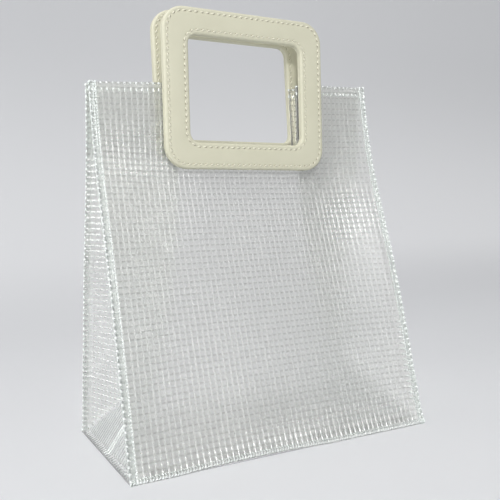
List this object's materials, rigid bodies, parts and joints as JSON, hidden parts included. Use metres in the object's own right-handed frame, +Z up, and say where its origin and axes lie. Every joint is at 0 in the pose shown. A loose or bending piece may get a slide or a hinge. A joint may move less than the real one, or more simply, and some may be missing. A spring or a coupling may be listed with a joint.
{
  "type": "clear tote handbag",
  "caption": "Small clear grid-film tote bag with folded side gussets, a flat base and cream leather-look square frame handles, standing nearly closed at the top.",
  "frame": {"origin": "centre of the bag's base, on the surface it stands on", "axes": "+Z up through the handles, +X along the bag's width, the front wall faces -Y"},
  "size_m": [0.1801, 0.102, 0.248],
  "materials": {
    "clear_film": "glossy flexible clear film with a woven grid inside",
    "cream_leather": "fine-grained satin leather-look"
  },
  "bodies": {
    "root": {"front_panel": "clear_film", "back_panel": "clear_film", "left_gusset": "clear_film", "right_gusset": "clear_film", "base_panel": "clear_film", "front_handle": "cream_leather", "back_handle": "cream_leather"}
  },
  "joints": []
}
